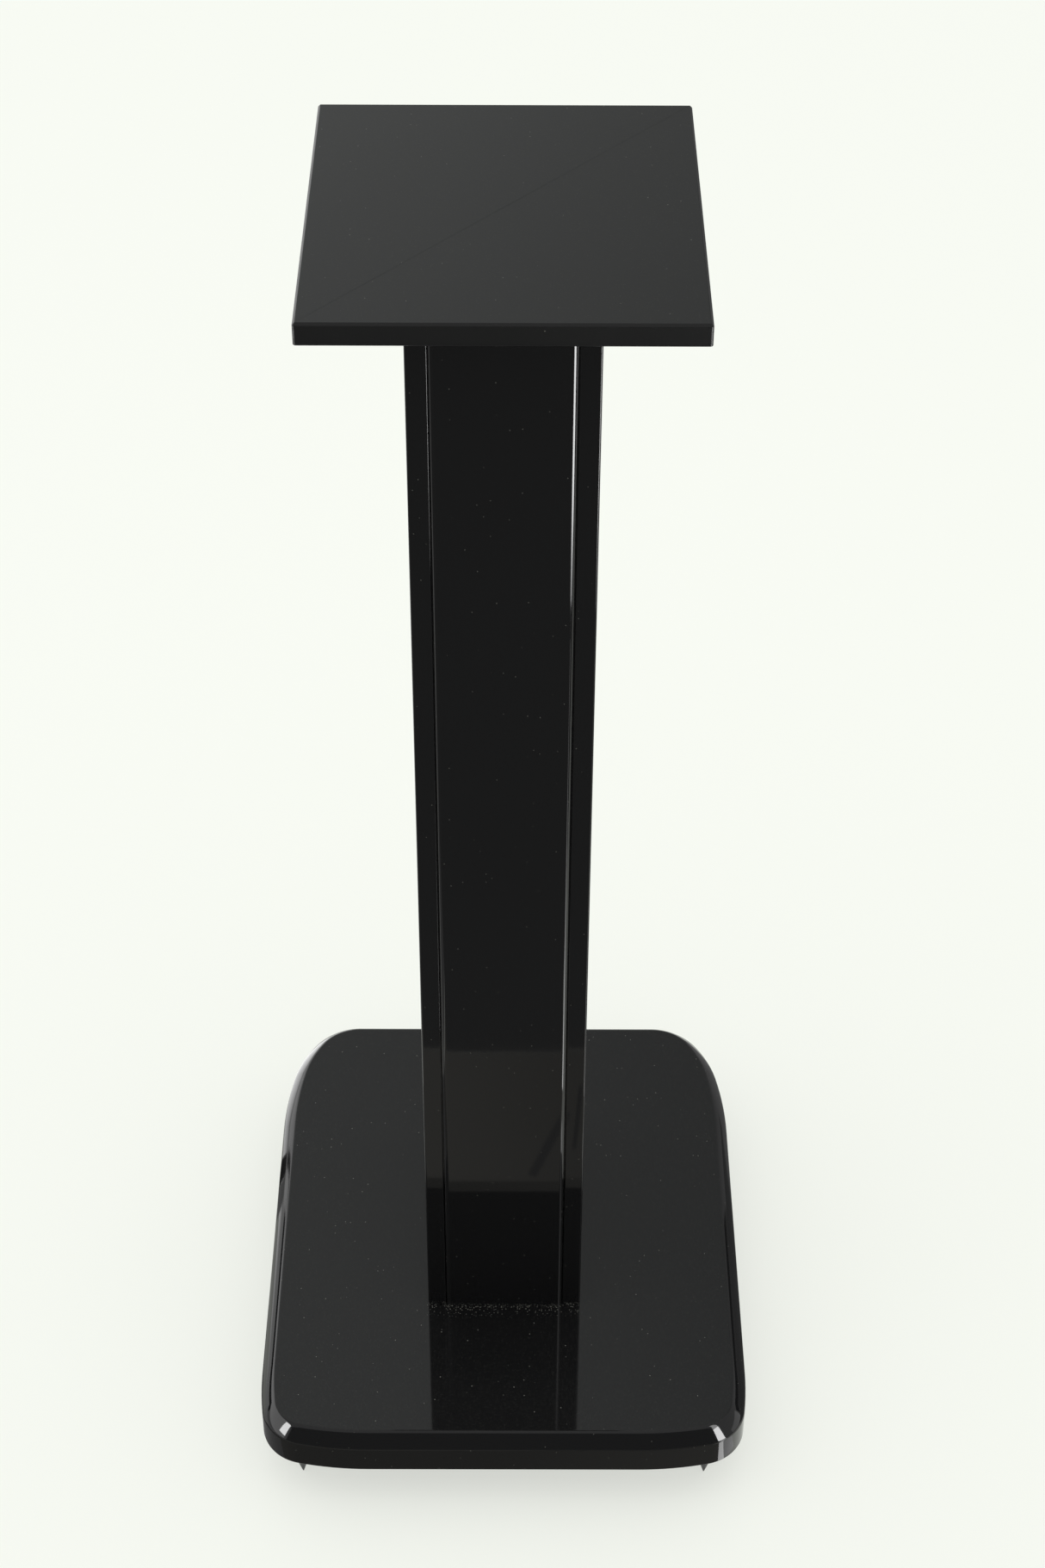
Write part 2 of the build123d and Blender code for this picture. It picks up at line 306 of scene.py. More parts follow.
class Outline:
    """Draws an outline in plan, run by run, as edges in edit mode."""

    def __init__(self, name, x, y, level, heading=0.0):
        self.piece = one_point(name)
        self.at = Vector((x, y, level))
        self.heading = radians(heading)
        bpy.ops.transform.translate(value=self.at)

    def line_to(self, x, y):
        """Draws a straight run."""
        run = Vector((x, y, self.at.z)) - self.at
        bpy.ops.mesh.extrude_region_move(TRANSFORM_OT_translate={"value": run})
        self.at += run

    def arc(self, radius, sweep, step=1.5):
        """Draws an arc that turns left, tangent to the heading."""
        centre = self.at + radius * Vector((-sin(self.heading), cos(self.heading), 0))
        bpy.ops.mesh.spin(
            steps=max(2, round(sweep / step)), angle=-radians(sweep), center=centre, axis=(0, 0, 1)
        )
        self.heading += radians(sweep)
        self.at = centre + radius * Vector((sin(self.heading), -cos(self.heading), 0))

    def fill(self, mirrored=False):
        """Closes the outline, from its mirror image where half of it was drawn, and fills it."""
        if mirrored:
            modify(self.piece, "MIRROR", use_mirror_merge=True, merge_threshold=SAME_POINT)
            edit(self.piece)
        bpy.ops.mesh.select_all(action="SELECT")
        bpy.ops.mesh.remove_doubles(threshold=SAME_POINT)
        bpy.ops.mesh.edge_face_add()

    def raise_to(self, level):
        """Pulls the filled outline up into a solid."""
        bpy.ops.mesh.select_all(action="SELECT")
        bpy.ops.mesh.extrude_region_move(TRANSFORM_OT_translate={"value": (0, 0, level - self.at.z)})
        bpy.ops.mesh.select_all(action="SELECT")
        bpy.ops.mesh.normals_make_consistent(inside=False)
        return self.piece


def turned(name, x, y, profile, closed=False, steps=64):
    """Turns a profile of radii and heights round an upright axis."""
    piece = one_point(name)
    points = [Vector((x + radius, y, height)) for radius, height in profile]
    if closed:
        points.append(points[0])
    bpy.ops.transform.translate(value=points[0])
    for before, after in zip(points, points[1:]):
        bpy.ops.mesh.extrude_region_move(TRANSFORM_OT_translate={"value": after - before})
    bpy.ops.mesh.select_all(action="SELECT")
    bpy.ops.mesh.remove_doubles(threshold=SAME_POINT)
    bpy.ops.mesh.spin(steps=steps, angle=tau, center=(x, y, 0), axis=(0, 0, 1))
    bpy.ops.mesh.select_all(action="SELECT")
    bpy.ops.mesh.remove_doubles(threshold=SAME_POINT)
    bpy.ops.mesh.normals_make_consistent(inside=False)
    deselect()
    return piece


def middle(node):
    """Plan position of a CAD node's middle."""
    low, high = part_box(node)
    return (low.x + high.x) / 2, (low.y + high.y) / 2


def levels(node):
    """Lowest and highest level of a CAD node."""
    low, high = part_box(node)
    return low.z, high.z


def reach(arcs):
    """How far a run of tangent arcs reaches along the edge that it starts from."""
    turn = along = 0.0
    for radius, sweep, _ in arcs:
        after = turn + radians(sweep)
        along += radius * MM * (sin(after) - sin(turn))
        turn = after
    return along


# ------------------------------------------------------------------ shader nodes
class Wire:
    """A node's output. Arithmetic on it adds Math nodes."""

    def __init__(self, finish, socket):
        self.finish = finish
        self.socket = socket

    def maths(self, operation, *values):
        """Adds a Math node on some values or wires."""
        inputs = dict(enumerate(values))
        return self.finish.node("ShaderNodeMath", {"operation": operation}, inputs)

    def __add__(self, other):
        return self.maths("ADD", self, other)

    __radd__ = __add__

    def __sub__(self, other):
        return self.maths("SUBTRACT", self, other)

    def __rsub__(self, other):
        return self.maths("SUBTRACT", other, self)

    def __mul__(self, other):
        return self.maths("MULTIPLY", self, other)

    __rmul__ = __mul__

    def above(self, level):
        """1 where the value is above a level, and 0 elsewhere."""
        return self.maths("GREATER_THAN", self, level)

    def sine(self):
        """The value's sine, with the value in radians."""
        return self.maths("SINE", self)

    def size(self):
        """The value without its sign."""
        return self.maths("ABSOLUTE", self)


class Finish:
    """A material, built node by node."""

    def __init__(self, name):
        self.material = bpy.data.materials.new(name)
        self.material.use_nodes = True
        self.tree = self.material.node_tree
        self.tree.nodes.clear()
        self.place = self.node("ShaderNodeTexCoord", output="Object")

    def node(self, kind, settings=None, inputs=None, output=0):
        """Adds a node: its settings first, then the values or links of its sockets."""
        made = self.tree.nodes.new(kind)
        for name, value in (settings or {}).items():
            if name == "stops":
                ramp = made.color_ramp.elements
                for stop, (position, shade) in enumerate(value):
                    element = ramp[stop] if stop < 2 else ramp.new(position)
                    element.position = position
                    element.color = shade
            else:
                setattr(made, name, value)
        for name, value in (inputs or {}).items():
            socket = made.inputs[name]
            if isinstance(value, Wire):
                self.tree.links.new(value.socket, socket)
            else:
                socket.default_value = value
        return Wire(self, made.outputs[output]) if len(made.outputs) else made

    def noise(self, scale, detail=2.0, roughness=0.5, place=None):
        """Soft noise from 0 to 1, with so many patches to the metre."""
        inputs = {"Vector": place or self.place, "Scale": scale, "Detail": detail, "Roughness": roughness}
        return self.node("ShaderNodeTexNoise", {}, inputs)

    def step(self, value, low, high):
        """Smooth step from 0 at one value to 1 at another."""
        inputs = {"Value": value, "From Min": low, "From Max": high}
        return self.node("ShaderNodeMapRange", {"interpolation_type": "SMOOTHSTEP"}, inputs)

    def mix(self, amount, a, b):
        """Blends two colours."""
        inputs = {0: amount, 6: rgba(a), 7: rgba(b)}
        return self.node("ShaderNodeMix", {"data_type": "RGBA"}, inputs, 2)

    def vectors(self, operation, *values, output=0):
        """Adds a Vector Math node on some vectors."""
        inputs = dict(enumerate(values))
        return self.node("ShaderNodeVectorMath", {"operation": operation}, inputs, output)

    def axis(self, letter, vector=None):
        """One coordinate of a vector."""
        return self.node("ShaderNodeSeparateXYZ", {}, {"Vector": vector or self.place}, letter)

    def facing(self, letter):
        """One coordinate of the surface's normal."""
        return self.axis(letter, self.node("ShaderNodeTexCoord", output="Normal"))

    def specks(self, scale, size, share):
        """Scattered round specks: cells to the metre, radius as a share of a cell, share of cells."""
        inputs = {"Vector": self.place, "Scale": scale}
        distance = self.node("ShaderNodeTexVoronoi", {}, inputs, "Distance")
        chance = self.axis("X", self.node("ShaderNodeTexVoronoi", {}, inputs, "Color"))
        core = size * 0.4
        return self.step(distance, size, core) * chance.above(1.0 - share)

    def bump(self, height, distance, strength=1.0):
        """Turns a height into a normal; the distance is the height's full range."""
        inputs = {"Height": height, "Distance": distance, "Strength": strength}
        return self.node("ShaderNodeBump", {}, inputs)

    def done(self, inputs):
        """Adds the shader and returns the finished material."""
        shader = self.node("ShaderNodeBsdfPrincipled", {}, inputs)
        self.node("ShaderNodeOutputMaterial", {}, {"Surface": shader})
        return self.material


def rgba(value):
    """A colour with its alpha, or a wire as it is."""
    return value if isinstance(value, Wire) else (*value[:3], 1.0)


def scaled(value, factor):
    """A colour made lighter or darker."""
    return tuple(channel * factor for channel in value)


def finish_of(make):
    """The finish that a function makes, made at its first use."""
    if make not in finishes_made:
        finishes_made[make] = make(make.__name__, bpy.context.scene.stand_finishes)
    return finishes_made[make]


def gloss_lacquer(name, colours):
    """Polished black lacquer with faint orange peel, fine dust on top and an unpolished underside."""
    finish = Finish(name)
    upward = finish.facing("Z")
    level = finish.step(upward, 0.80, 0.98)
    underneath = finish.step(upward, -0.90, -0.99)
    film = finish.noise(26.0, 4.0, 0.62)
    grain = finish.noise(900.0, 1.0)
    specks = finish.specks(1150.0, 0.34, 0.16)
    lint = finish.specks(330.0, 0.12, 0.16)
    # Polish dust left along the column's foot: a fine line in the corner and crumbs in front of it.
    # The line steps forward where the panel stands proud of the cheeks.
    panel_low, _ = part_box("front_panel")
    cheek_low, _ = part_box("left_cheek")
    half_width = -cheek_low.x
    beside = finish.axis("X").size()
    along = 1 - finish.step(beside, half_width - 2 * MM, half_width + 1 * MM)
    proud = finish.step(beside, 34.4 * MM, 33.8 * MM)
    gap = (finish.axis("Y") - cheek_low.y + (cheek_low.y - panel_low.y) * proud).size()
    foot = along * finish.step(finish.axis("Z"), panel_low.z + 3.0 * MM, panel_low.z + 0.5 * MM)
    line = foot * finish.step(gap, 1.3 * MM, 0.7 * MM) * finish.specks(900.0, 0.50, 0.85)
    strewn = foot * finish.step(gap, 11.0 * MM, 1.0 * MM) * finish.specks(850.0, 0.36, 0.42)
    crumbs = 0.15 * line + 0.36 * strewn
    haze = 0.0005 + 0.0020 * film + 0.030 * specks + 0.010 * finish.step(grain, 0.50, 0.75)
    dust = level * haze + (0.20 + 0.25 * level) * lint + crumbs
    rough = 0.030 + 0.035 * film + 0.30 * underneath + 0.25 * crumbs
    return finish.done(
        {
            "Base Color": finish.mix(dust, colours.lacquer, colours.dust),
            "Roughness": rough,
            "IOR": 1.50,
            "Normal": finish.bump(finish.noise(230.0, 2.0), 0.0000022),
        }
    )


def satin_lacquer(name, colours):
    """Sprayed satin black with a fine speckled grain."""
    finish = Finish(name)
    upward = finish.facing("Z")
    level = finish.step(upward, 0.80, 0.98)
    cloud = finish.noise(18.0, 3.0, 0.6)
    grain = finish.noise(1500.0, 2.0, 0.6)
    specks = finish.specks(1300.0, 0.36, 0.13)
    dust = 0.0010 + level * (0.004 * cloud + 0.055 * specks) + (1 - level) * 0.020 * specks
    dust = dust + 0.40 * finish.specks(330.0, 0.115, 0.11)
    return finish.done(
        {
            "Base Color": finish.mix(dust, colours.satin, colours.dust),
            "Roughness": 0.30 + 0.05 * cloud + 0.08 * grain,
            "IOR": 1.50,
            "Normal": finish.bump(grain, 0.000012, 0.6),
        }
    )


def fibreboard(name, colours):
    """Bare medium density board with short matted fibres."""
    finish = Finish(name)
    stretched = finish.vectors("MULTIPLY", finish.place, (1.0, 0.35, 1.0))
    fibres = finish.noise(1100.0, 3.0, 0.65, stretched)
    patches = finish.noise(90.0, 2.0)
    dark, pale = scaled(colours.board, 0.72), scaled(colours.board, 1.25)
    return finish.done(
        {
            "Base Color": finish.mix(0.35 * patches + 0.65 * fibres, dark, pale),
            "Roughness": 0.80 + 0.12 * fibres,
            "Normal": finish.bump(fibres, 0.00006),
        }
    )


def beech(name, colours):
    """Turned beech with upright grain and short dark flecks."""
    finish = Finish(name)
    drawn = finish.vectors("MULTIPLY", finish.place, (1.0, 1.0, 0.08))
    grain = finish.noise(900.0, 3.0, 0.6, drawn)
    flecks = finish.step(finish.noise(1800.0, 1.0, 0.5, drawn), 0.62, 0.72)
    pale, dark = scaled(colours.beech, 1.1), scaled(colours.beech, 0.62)
    return finish.done(
        {
            "Base Color": finish.mix(0.7 * grain + 0.5 * flecks, pale, dark),
            "Roughness": 0.55 + 0.15 * grain,
            "Normal": finish.bump(grain, 0.00003),
        }
    )


def metal(name, shade, roughness, wear, bright, ringed=0.0):
    """Plated or blackened metal with fine marks; a ringed one shows a thread of that pitch."""
    finish = Finish(name)
    cloud = finish.noise(240.0, 3.0, 0.6)
    marks = finish.noise(2600.0, 2.0, 0.6)
    worn = finish.step(finish.noise(420.0, 4.0, 0.7), 0.60, 0.74) * wear
    height = marks
    if ringed:
        height = 8.0 * (finish.axis("Z") * (tau / ringed)).sine() + marks
    return finish.done(
        {
            "Base Color": finish.mix(worn, shade, bright),
            "Metallic": 1.0,
            "Roughness": roughness + 0.14 * cloud + 0.06 * marks,
            "Normal": finish.bump(height, 0.00004 if ringed else 0.000008),
        }
    )


def zinc_steel(name, colours):
    """Bright zinc plating."""
    return metal(name, colours.zinc, 0.24, 0.6, scaled(colours.zinc, 0.66))


def zinc_thread(name, colours):
    """Bright zinc plating on threaded rod."""
    return metal(name, colours.zinc, 0.26, 0.6, scaled(colours.zinc, 0.66), ringed=M8_PITCH)


def brass(name, colours):
    """Machined brass."""
    return metal(name, colours.brass, 0.26, 0.5, scaled(colours.brass, 0.7), ringed=M8_PITCH)


def black_steel(name, colours):
    """Blackened steel, worn a little brighter in patches."""
    return metal(name, colours.black_steel, 0.27, 0.5, (0.11, 0.11, 0.115))


# ------------------------------------------------------------------ pieces
class STAND_OT_plinth(Operator):
    """Model the bowed, bevelled plinth and bore it for the rods, dowels and spikes"""

    bl_idname = "stand.plinth"
    bl_label = "Plinth"

    def execute(self, context):
        sizes = context.scene.stand_sizes
        low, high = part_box("plinth")
        plan = Outline("plinth_board", 0, low.y, low.z)
        plan.line_to(high.x - reach(FRONT_ARCS), low.y)
        for radius, sweep, step in FRONT_ARCS:
            plan.arc(radius * MM, sweep, step)
        plan.line_to(high.x, high.y - reach(REAR_ARCS))
        for radius, sweep, step in REAR_ARCS:
            plan.arc(radius * MM, sweep, step)
        plan.line_to(0, high.y)
        plan.fill(mirrored=True)
        plinth = plan.raise_to(high.z)
        bevel(at_level(high.z), sizes.plinth_bevel, 8, CROWN)
        bevel(at_level(high.z - sizes.plinth_bevel), sizes.plinth_edge, 3)
        bevel(at_level(high.z), sizes.plinth_arris, 3)
        bevel(at_level(low.z), sizes.plinth_foot, 4)
        deselect()
        below, above = low.z - PAST, high.z + PAST
        rods = [middle(f"tie_rod_{corner}") for corner in CORNERS]
        drill(plinth, rods, COUNTERBORE, below, levels("rod_washer_front_left")[1])
        drill(plinth, rods, ROD_HOLE, below, above)
        dowels = [middle(f"bottom_dowel_{side}") for side in SIDES]
        drill(plinth, dowels, DOWEL_HOLE, levels("bottom_dowel_left")[0] - DOWEL_ROOM, above)
        spikes = [middle(f"spike_{corner}") for corner in CORNERS]
        drill(plinth, spikes, INSERT_BARREL, below, levels("spike_insert_front_left")[1])
        drill(plinth, spikes, THREAD_BORE, below, levels("spike_front_left")[1])
        smooth(plinth)
        finish = finish_of(gloss_lacquer)
        deliver(plinth, finish, "stand", "piano_black_lacquer", "plinth")
        return {"FINISHED"}


class STAND_OT_cheeks(Operator):
    """Model one grooved side board of the column and turn a copy of it round for the other side"""

    bl_idname = "stand.cheeks"
    bl_label = "Cheeks"

    def execute(self, context):
        sizes = context.scene.stand_sizes
        low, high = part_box("right_cheek")
        groove_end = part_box("front_panel")[1].x + TONGUE_ROOM
        plan = Outline("cheek_right", low.x, low.y, low.z)
        plan.line_to(high.x, low.y)
        plan.line_to(high.x, high.y)
        plan.line_to(low.x, high.y)
        for start, end in ((GROOVE_FAR, GROOVE_NEAR), (-GROOVE_NEAR, -GROOVE_FAR)):
            plan.line_to(low.x, start)
            plan.line_to(groove_end, start)
            plan.line_to(groove_end, end)
            plan.line_to(low.x, end)
        plan.line_to(low.x, low.y)
        plan.fill()
        cheek = plan.raise_to(high.z)
        bevel(upright_at((high.x, low.y), (high.x, high.y)), sizes.cheek_outer, 6)
        bevel(upright_at((low.x, low.y), (low.x, high.y)), sizes.cheek_inner, 4)
        deselect()
        smooth(cheek)
        finish = finish_of(gloss_lacquer)
        other = copy_of(cheek, "cheek_left", half_turn=True)
        deliver(cheek, finish, "stand", "piano_black_lacquer", "right_cheek")
        deliver(other, finish, "stand", "piano_black_lacquer", "left_cheek")
        return {"FINISHED"}


class STAND_OT_panels(Operator):
    """Model the proud front panel with its crowned lips and tongues, and turn a copy for the rear"""

    bl_idname = "stand.panels"
    bl_label = "Panels"

    def execute(self, context):
        sizes = context.scene.stand_sizes
        low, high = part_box("front_panel")
        # The lip swells from a small round into a crowned face of about 45 degrees
        share = sizes.panel_lip / reach(LIP_ARCS)
        plan = Outline("panel_front", 0, low.y, low.z)
        plan.line_to(LIP_EDGE - sizes.panel_lip, low.y)
        for radius, sweep, step in LIP_ARCS:
            plan.arc(radius * share * MM, sweep, step)
        for x, y in (
            (LIP_EDGE, low.y + LIP_DEPTH),
            (PANEL_CORE, low.y + LIP_DEPTH),
            (PANEL_CORE, low.y + TONGUE_FRONT),
            (high.x, low.y + TONGUE_FRONT),
            (high.x, low.y + TONGUE_BACK),
            (PANEL_CORE, low.y + TONGUE_BACK),
            (PANEL_CORE, high.y),
            (0, high.y),
        ):
            plan.line_to(x, y)
        plan.fill(mirrored=True)
        panel = plan.raise_to(high.z)
        deselect()
        smooth(panel)
        finish = finish_of(gloss_lacquer)
        other = copy_of(panel, "panel_rear", half_turn=True)
        deliver(panel, finish, "stand", "piano_black_lacquer", "front_panel")
        deliver(other, finish, "stand", "piano_black_lacquer", "rear_panel")
        return {"FINISHED"}


class STAND_OT_top_plate(Operator):
    """Model the satin top plate with its chamfers and the holes in its underside"""

    bl_idname = "stand.top_plate"
    bl_label = "Top plate"

    def execute(self, context):
        sizes = context.scene.stand_sizes
        low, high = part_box("top_plate")
        radius = sizes.plate_corner
        plan = Outline("plate_top", low.x + radius, low.y, low.z)
        for x, y in (
            (high.x - radius, low.y),
            (high.x, high.y - radius),
            (low.x + radius, high.y),
            (low.x, low.y + radius),
        ):
            plan.line_to(x, y)
            plan.arc(radius, 90.0, 11.25)
        plan.fill()
        plate = plan.raise_to(high.z)
        bevel(at_level(high.z), sizes.plate_chamfer)
        bevel(at_level(low.z), sizes.plate_lower)
        upper, lower = at_level(high.z), at_level(high.z - sizes.plate_chamfer)
        softening = 0.18 * MM
        bevel(lambda edge: upper(edge) or lower(edge), softening, 2)
        deselect()
        rods = [middle(f"tie_rod_{corner}") for corner in CORNERS]
        drill(plate, rods, INSERT_BARREL, low.z - PAST, levels("plate_insert_front_left")[1])
        dowels = [middle(f"top_dowel_{side}") for side in SIDES]
        drill(plate, dowels, DOWEL_HOLE, low.z - PAST, levels("top_dowel_left")[1] + DOWEL_ROOM)
        smooth(plate)
        finish = finish_of(satin_lacquer)
        deliver(plate, finish, "stand", "satin_black_lacquer", "top_plate")
        return {"FINISHED"}


class STAND_OT_spikes(Operator):
    """Turn one spike, cut its thread, and copy it to the four corners"""

    bl_idname = "stand.spikes"
    bl_label = "Spikes"

    def execute(self, context):
        sizes = context.scene.stand_sizes
        x, y = middle("spike_front_left")
        low, high = levels("spike_front_left")
        crest = 4.0 * MM
        root = crest - sizes.thread_depth
        pitch = sizes.thread_pitch
        cone = low + 13.0 * MM  # where the point ends and the stud starts
        # Thread: one tooth drawn at the root, swept up the stud and cut flat at both ends
        spike = one_point("spike_front_left_piece")
        bpy.ops.transform.translate(value=(root, 0, cone - 3 * pitch))
        for out, up in ((crest - root, 0.40), (0, 0.12), (root - crest, 0.40), (0, 0.08)):
            bpy.ops.mesh.extrude_region_move(TRANSFORM_OT_translate={"value": (out, 0, up * pitch)})
        turns = round((high - cone) / pitch) + 6
        steps = {"steps": 28, "render_steps": 28}
        modify(spike, "SCREW", axis="Z", angle=tau, screw_offset=pitch, iterations=turns, **steps)
        edit(spike)
        bpy.ops.mesh.select_all(action="SELECT")
        bpy.ops.mesh.remove_doubles(threshold=SAME_POINT)
        bpy.ops.mesh.fill_holes(sides=0)
        bpy.ops.mesh.select_all(action="SELECT")
        bpy.ops.mesh.normals_make_consistent(inside=False)
        deselect()
        lead = 0.8 * MM
        envelope = [
            (0, cone - 0.4 * MM),
            (crest + MM, cone - 0.4 * MM),
            (crest + MM, high - lead - MM),
            (crest - lead, high),
            (0, high),
        ]
        combine(spike, turned("lead_in", 0, 0, envelope), "INTERSECT")
        point = [
            (0, low),
            (0.18 * MM, low + 0.03 * MM),
            (0.33 * MM, low + 0.14 * MM),
            (0.42 * MM, low + 0.34 * MM),
            (crest - 0.22 * MM, cone - 0.75 * MM),
            (crest - 0.05 * MM, cone - 0.45 * MM),
            (crest, cone - 0.15 * MM),
            (crest, cone + 0.05 * MM),
            (crest - 0.15 * MM, cone + 0.2 * MM),
            (root, cone + 0.2 * MM),
            (root, cone + 1.2 * MM),
            (0, cone + 1.2 * MM),
        ]
        combine(spike, turned("point", 0, 0, point), "UNION")
        take(spike)
        bpy.ops.transform.translate(value=(x, y, 0))
        smooth(spike, 28)
        at_corners(spike, "spike", "black_steel", finish_of(black_steel), feet=True)
        return {"FINISHED"}


def hexagon_nut(name, node, bore):
    """A nut with chamfered corners and a countersunk bore, at a CAD node's place."""
    x, y = middle(node)
    bottom, top = levels(node)
    low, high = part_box(node)
    flats = min(high.x - low.x, high.y - low.y)
    corner = flats / 2 / cos(pi / 6)
    outside = corner + 0.1 * MM
    face = flats / 2 - 0.15 * MM
    slope = (outside - face) * tan(radians(30))
    sink = 0.45 * MM
    deselect()
    bpy.ops.mesh.primitive_cylinder_add(
        vertices=6, radius=corner, depth=top - bottom, location=(x, y, (bottom + top) / 2)
    )
    nut = bpy.context.object
    nut.name = nut.data.name = name
    if high.x - low.x > high.y - low.y:
        bpy.ops.transform.rotate(value=pi / 2, orient_axis="Z", center_override=(x, y, 0))
    bpy.ops.object.transform_apply(location=True, rotation=True, scale=True)
    ring = [
        (bore, bottom + sink),
        (bore + sink, bottom),
        (face, bottom),
        (outside, bottom + slope),
        (outside, top - slope),
        (face, top),
        (bore + sink, top),
        (bore, top - sink),
    ]
    combine(nut, turned("nut_blank", x, y, ring, closed=True), "INTERSECT")

    def outer_corner(edge):
        a, b = (end.co for end in edge.verts)
        at_corner = Vector((a.x - x, a.y - y)).length > corner - 0.3 * MM
        return at_corner and abs(a.z - b.z) > 2 * MM

    edit(nut)
    bevel(outer_corner, 0.15 * MM, 2)
    deselect()
    smooth(nut, 20)
    return nut


class STAND_OT_nuts(Operator):
    """Model the spikes' lock nuts and the tie rods' nuts and washers"""

    bl_idname = "stand.nuts"
    bl_label = "Nuts and washers"

    def execute(self, context):
        for kind, slot, make in (
            ("lock_nut", "black_steel", black_steel),
            ("rod_nut", "zinc_steel", zinc_steel),
        ):
            first = hexagon_nut(f"{kind}_front_left_piece", f"{kind}_front_left", THREAD_BORE)
            at_corners(first, kind, slot, finish_of(make))
        x, y = middle("rod_washer_front_left")
        bottom, top = levels("rod_washer_front_left")
        ease = 0.3 * MM
        ring = [
            (ROD_HOLE, bottom + ease),
            (ROD_HOLE + ease, bottom),
            (RIM - ease, bottom),
            (RIM, bottom + ease),
            (RIM, top - ease),
            (RIM - ease, top),
            (ROD_HOLE + ease, top),
            (ROD_HOLE, top - ease),
        ]
        washer = turned("rod_washer_front_left_piece", x, y, ring, closed=True)
        smooth(washer)
        at_corners(washer, "rod_washer", "zinc_steel", finish_of(zinc_steel))
        return {"FINISHED"}


class STAND_OT_inserts(Operator):
    """Turn the flanged inserts that the spikes screw into"""

    bl_idname = "stand.inserts"
    bl_label = "Spike inserts"

    def execute(self, context):
        x, y = middle("spike_insert_front_left")
        bottom, top = levels("spike_insert_front_left")
        flange_top = levels("plinth")[0]
        ease = 0.35 * MM
        ring = [
            (THREAD_BORE, bottom + ease),
            (THREAD_BORE + ease, bottom),
            (RIM - 2 * ease, bottom),
            (RIM - 0.6 * ease, bottom + 0.4 * ease),
            (RIM, bottom + 1.4 * ease),
            (RIM, flange_top),
            (INSERT_BARREL, flange_top),
            (INSERT_BARREL, top - ease),
            (INSERT_BARREL - ease, top),
            (THREAD_BORE, top),
        ]
        insert = turned("spike_insert_front_left_piece", x, y, ring, closed=True)
        smooth(insert)
        at_corners(insert, "spike_insert", "zinc_steel", finish_of(zinc_steel))
        return {"FINISHED"}


class STAND_OT_inner_parts(Operator):
    """Finish the CAD parts that keep their own shape: blocks, brace, dowels, rods and inserts"""

    bl_idname = "stand.inner_parts"
    bl_label = "Inner parts"

    def execute(self, context):
        finishes = (
            ("column_", fibreboard),
            ("bottom_dowel_", beech),
            ("top_dowel_", beech),
            ("tie_rod_", zinc_thread),
            ("plate_insert_", brass),
        )
        for start, make in finishes:
            nodes = [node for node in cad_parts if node.startswith(start)]
            if not nodes:
                raise RuntimeError(f"the frame has no node that starts with {start}")
            for node in nodes:
                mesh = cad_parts[node].data
                mesh.materials.clear()
                mesh.materials.append(finish_of(make))
        return {"FINISHED"}


# ------------------------------------------------------------------ stage
UP = (0, 0, 1)
DOWN = (0, 0, -1)
LEFT = (-1, 0, 0)
RIGHT = (1, 0, 0)
FORWARD = (0, -1, 0)
BACKWARD = (0, 1, 0)
DARK = 0.03  # level of the dark cards
COOL = (0.97, 1.0, 0.985)
WARM = (1.0, 0.97, 0.88)


def lay_floor(colours):
    """Lays pale paper that gives most of its own light, so that the shadows on it stay faint."""
    deselect()
    bpy.ops.mesh.primitive_circle_add(vertices=96, radius=14.0, fill_type="NGON")
    floor = bpy.context.object
    floor.name = floor.data.name = "studio_floor"
    finish = Finish("studio_paper")
    # Its glow is painted light: a little brighter far off, to meet the air, and a little warmer in front
    # of the stand
    away = finish.vectors("LENGTH", finish.place, output="Value")
    pale, far = scaled(colours.floor, 0.64), scaled(colours.floor, 0.70)
    paper = finish.mix(finish.step(away, 1.2, 4.5), pale, far)
    back = finish.axis("Y")
    near = finish.step(back, -0.15, -0.75) * finish.step(back, -2.4, -1.1)
    floor.data.materials.append(
        finish.done(
            {
                "Base Color": rgba(scaled(colours.floor, 0.42)),
                "Emission Color": finish.mix(near, paper, (0.545, 0.556, 0.475)),
                "Emission Strength": 1.0,
                "Roughness": 0.9,
                "Specular IOR Level": 0.0,
            }
        )
    )


def light_room(scene):
    """Fills the air with even light and hangs two soft lights, over the stand and on its left."""
    world = bpy.data.worlds.new("studio_air")
    world.use_nodes = True
    air = world.node_tree.nodes["Background"].inputs
    air["Color"].default_value = (0.985, 1.0, 0.965, 1.0)
    air["Strength"].default_value = 0.97
    scene.world = world
    aim = Vector((0, 0, 0.3))
    for name, place, size, power in (
        ("soft_light_over", (-0.3, 0.2, 2.8), 3.2, 14.0),
        ("soft_light_left", (-2.0, -0.6, 1.6), 1.6, 3.0),
    ):
        deselect()
        bpy.ops.object.light_add(type="AREA", location=place)
        light = bpy.context.object
        light.name = light.data.name = name
        light.data.size = size
        light.data.energy = power
        light.rotation_mode = "QUATERNION"
        light.rotation_quaternion = (aim - Vector(place)).to_track_quat("-Z", "Y")
        light.visible_camera = False
        light.visible_glossy = False


